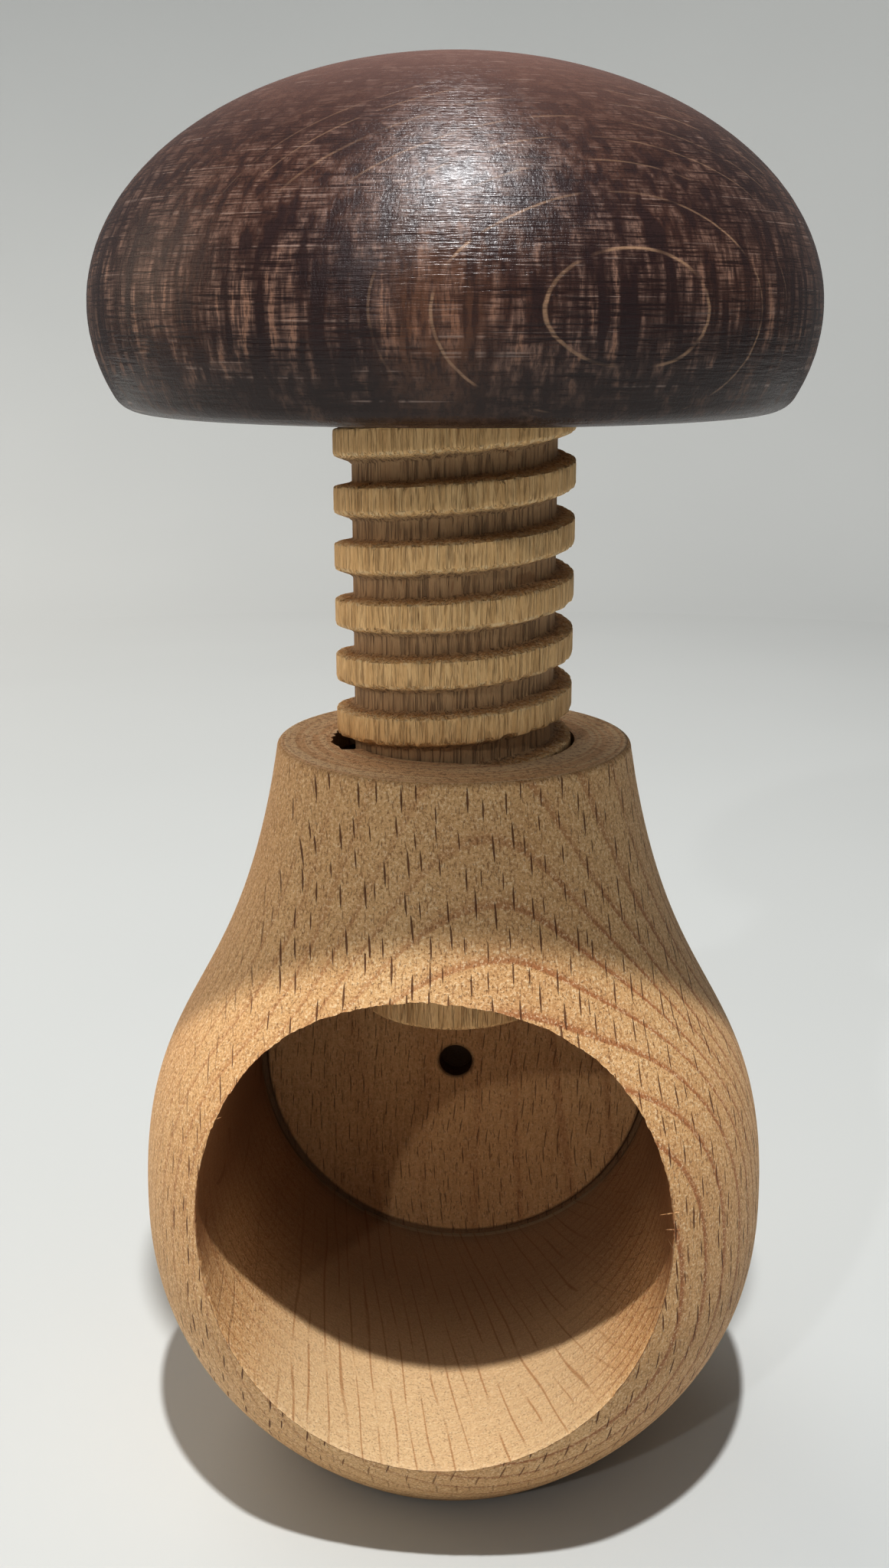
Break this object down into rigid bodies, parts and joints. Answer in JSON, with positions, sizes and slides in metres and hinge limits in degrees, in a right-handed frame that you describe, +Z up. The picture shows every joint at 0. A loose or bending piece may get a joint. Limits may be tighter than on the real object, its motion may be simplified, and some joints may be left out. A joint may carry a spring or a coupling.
{
  "type": "nutcracker",
  "caption": "Wooden screw nutcracker: a pear-shaped turned body with a cross-bored nut cavity, and a screw spindle under a mushroom cap that presses the nut.",
  "frame": {"origin": "centre of the flat foot that the nutcracker stands on", "axes": "+Z up along the screw's axis, -Y the way the nut cavity opens"},
  "size_m": [0.0646, 0.0646, 0.1328],
  "materials": {
    "raw_beech": "raw turned beech, unsealed",
    "pale_beech": "raw beech, cut thread with torn fibres",
    "stained_beech": "dark walnut stain with a satin lacquer",
    "dried_glue": "dried white wood glue"
  },
  "bodies": {
    "base": {"body": "raw_beech"},
    "glue": {"glue_film": "dried_glue"},
    "screw": {"spindle": "pale_beech", "cap": "stained_beech"}
  },
  "joints": [
    {"name": "screw_travel", "type": "slide", "parent": "base", "child": "glue", "axis": [0, 0, 1], "range_m": [-0.03034, 0.01031]},
    {"name": "screw_turn", "type": "hinge", "parent": "glue", "child": "screw", "pos_m": [0, 0, 0.0724], "axis": [0, 0, 1], "range_deg": [-2120, 720]}
  ],
  "couplings": [
    {"joint": "screw_travel", "follows": "screw_turn", "m_per_rad": 0.00081965}
  ]
}
